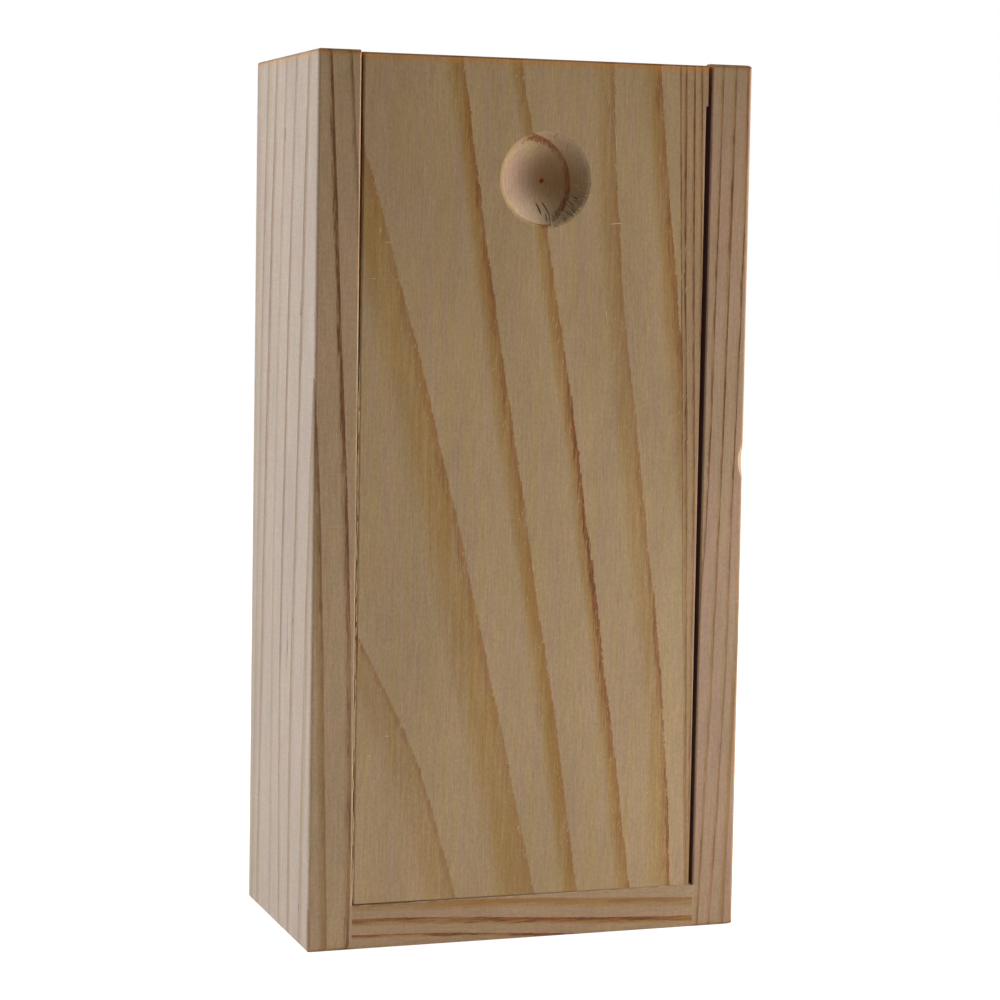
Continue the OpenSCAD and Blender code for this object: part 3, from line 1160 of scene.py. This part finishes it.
        # Radial tears, some 0.2 mm apart, along the outer part of the slope. The lower ones
        # are thick and ragged.
        for i in range(64):
            angle = math.radians(-88.0 + 1.4 * i + random.uniform(-1.2, 1.2))
            inner = random.uniform(6.0, 8.2)
            outer = min(inner + random.uniform(0.8, 2.2), self.RIM - 0.15)
            ends = [(cx + r * math.cos(angle), cz + r * math.sin(angle)) for r in (inner, outer)]
            ragged = angle < math.radians(-22.0)
            thick = random.uniform(0.16, 0.34) if ragged else random.uniform(0.04, 0.1)
            which = cuts if i % 2 else lips
            which.append(Sliver(ends[0], ends[1], thick, 0.0 if i % 2 else 0.08, random.uniform(-0.25, 0.25)))
        # Hair-fine scratches over the left half of the floor.
        for i in range(60):
            angle = math.radians(random.uniform(95.0, 265.0))
            inner = random.uniform(2.5, 6.5)
            ends = [
                (cx + r * math.cos(angle), cz + r * math.sin(angle))
                for r in (inner, inner + random.uniform(0.8, 2.2))
            ]
            (cuts if i % 3 == 0 else lips).append(Sliver(ends[0], ends[1], 0.05, 0.0, 0.03))
        Fibres("recess_cut_shade", self.body, "pine_lid", dark, cuts, self.level).build()
        Fibres("recess_lips", self.body, "pine_lid", pale, lips, self.level).build()


def paint(thing: bpy.types.Object, material: bpy.types.Material) -> None:
    """Puts one material on all of an object.

    Args:
        thing: The object.
        material: Its new material.
    """
    if not thing.material_slots:
        thing.data.materials.append(material)
    for slot in thing.material_slots:
        slot.material = material
    LOG.info("%s is %s", thing.name, material.name)


# ------------------------------------------------------------------ the studio


@dataclass
class Studio:
    """Pale floor, white surroundings, two window lamps, two faint lamps and the camera."""

    centre: Vector
    ambient: float = 0.035
    warmth: str = "ffe2b8"
    floor_colour: str = "f2f1ee"

    def build(self) -> None:
        """Makes the world, the floor, the lamps and the camera."""
        self.surround()
        self.floor()
        self.softbox("window_left_rear", (-0.80, 0.24, 0.20), 0.5, 7.6, "d2e1ff")
        self.softbox("window_right", (0.62, -0.13, 0.30), 0.26, 3.55, "fff3d6")
        self.softbox("table_glow", (0.16, -0.10, 0.0), 0.1, 0.22, "eaefff")
        self.softbox("table_front", (-0.02, -0.16, 0.0), 0.1, 0.035, "ffffff")
        self.camera()

    def surround(self) -> None:
        """Makes a world that the eye and reflections see as white, and that lights softly."""
        world = bpy.data.worlds.new("white_surround")
        bpy.context.scene.world = world
        world.use_nodes = True
        tree = world.node_tree
        tree.nodes.clear()
        path = add(tree, "ShaderNodeLightPath").node.outputs
        seen = add(tree, MATH, {"operation": "MAXIMUM"}, {0: path["Is Camera Ray"], 1: path["Is Glossy Ray"]})
        seen = add(tree, MATH, {"operation": "MAXIMUM"}, {0: seen, 1: path["Is Transmission Ray"]})
        strength = add(tree, RANGE, None, {"Value": seen, "To Min": self.ambient, "To Max": 1.0})
        colour = add(
            tree, MIX, BLEND, {"Factor": seen, "A": linear(self.warmth), "B": (1.0, 1.0, 1.0, 1.0)}
        )
        shade = add(tree, "ShaderNodeBackground", None, {"Color": colour, "Strength": strength})
        add(tree, "ShaderNodeOutputWorld", None, {"Surface": shade})

    def floor(self) -> None:
        """Makes a wide pale floor that reads as white and keeps a soft shadow."""
        shape = bmesh.new()
        bmesh.ops.create_grid(shape, x_segments=8, y_segments=8, size=12.0)
        floor = solidify("studio_floor", shape)
        material = blank("matt_white_paper")
        tree = material.node_tree
        path = add(tree, "ShaderNodeLightPath").node.outputs
        seen = add(tree, MATH, {"operation": "MAXIMUM"}, {0: path["Is Camera Ray"], 1: path["Is Glossy Ray"]})
        seen = add(tree, MATH, TIMES, {0: seen, 1: 0.96})
        mottled = add(tree, NOISE, None, {"Scale": 60.0, "Detail": 2.0})
        tone = add(tree, RANGE, None, {"Value": mottled, "To Min": 0.985, "To Max": 1.0})
        paper = linear(self.floor_colour)[:3]
        colour = add(tree, VECTOR, {"operation": "SCALE"}, {"Vector": paper, "Scale": tone})
        shader = add(
            tree, "ShaderNodeBsdfPrincipled", None,
            {"Base Color": colour, "Roughness": 0.9, "Specular IOR Level": 0.1,
             "Emission Color": (1.0, 1.0, 1.0, 1.0), "Emission Strength": seen},
        )
        add(tree, "ShaderNodeOutputMaterial", None, {"Surface": shader})
        paint(floor, material)
        floor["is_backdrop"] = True

    def softbox(
        self, name: str, place: tuple[float, float, float], size: float, watts: float, tint: str
    ) -> None:
        """Hangs one square soft lamp that faces the box.

        Args:
            name: Its name.
            place: Where it hangs, in metres.
            size: Its side, in metres.
            watts: Its power.
            tint: Its colour.
        """
        lamp = bpy.data.lights.new(name, "AREA")
        lamp.shape = "SQUARE"
        lamp.size = size
        lamp.energy = watts
        lamp.color = linear(tint)[:3]
        thing = bpy.data.objects.new(name, lamp)
        thing.location = place
        thing.rotation_euler = (self.centre - Vector(place)).to_track_quat("-Z", "Y").to_euler()
        thing.visible_camera = False
        bpy.context.scene.collection.objects.link(thing)

    def camera(self) -> None:
        """Puts the camera where the photograph was taken from."""
        lens = bpy.data.cameras.new("photo_camera")
        lens.sensor_width = 36.0
        lens.lens = 98.453
        lens.shift_y = -0.05
        lens.clip_start = 0.02
        lens.clip_end = 60.0
        thing = bpy.data.objects.new("photo_camera", lens)
        thing.location = (-0.18060, -0.53156, 0.13764)
        thing.rotation_euler = [math.radians(a) for a in (85.7729, -0.9999, -18.8310)]
        bpy.context.scene.collection.objects.link(thing)
        bpy.context.scene.camera = thing


def main() -> None:
    """Builds the studio and dresses each part of the box in turn."""
    logging.basicConfig(level=logging.INFO, format="%(name)s: %(message)s")
    random.seed(175)
    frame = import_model()
    cad_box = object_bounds()
    bpy.context.scene.view_settings.view_transform = "Standard"
    Studio(centre=(cad_box[0] + cad_box[1]) / 2).build()
    Carcass(frame["nodes"]).dress()
    Lid(frame["nodes"]).dress()


if __name__ == "__main__":
    main()
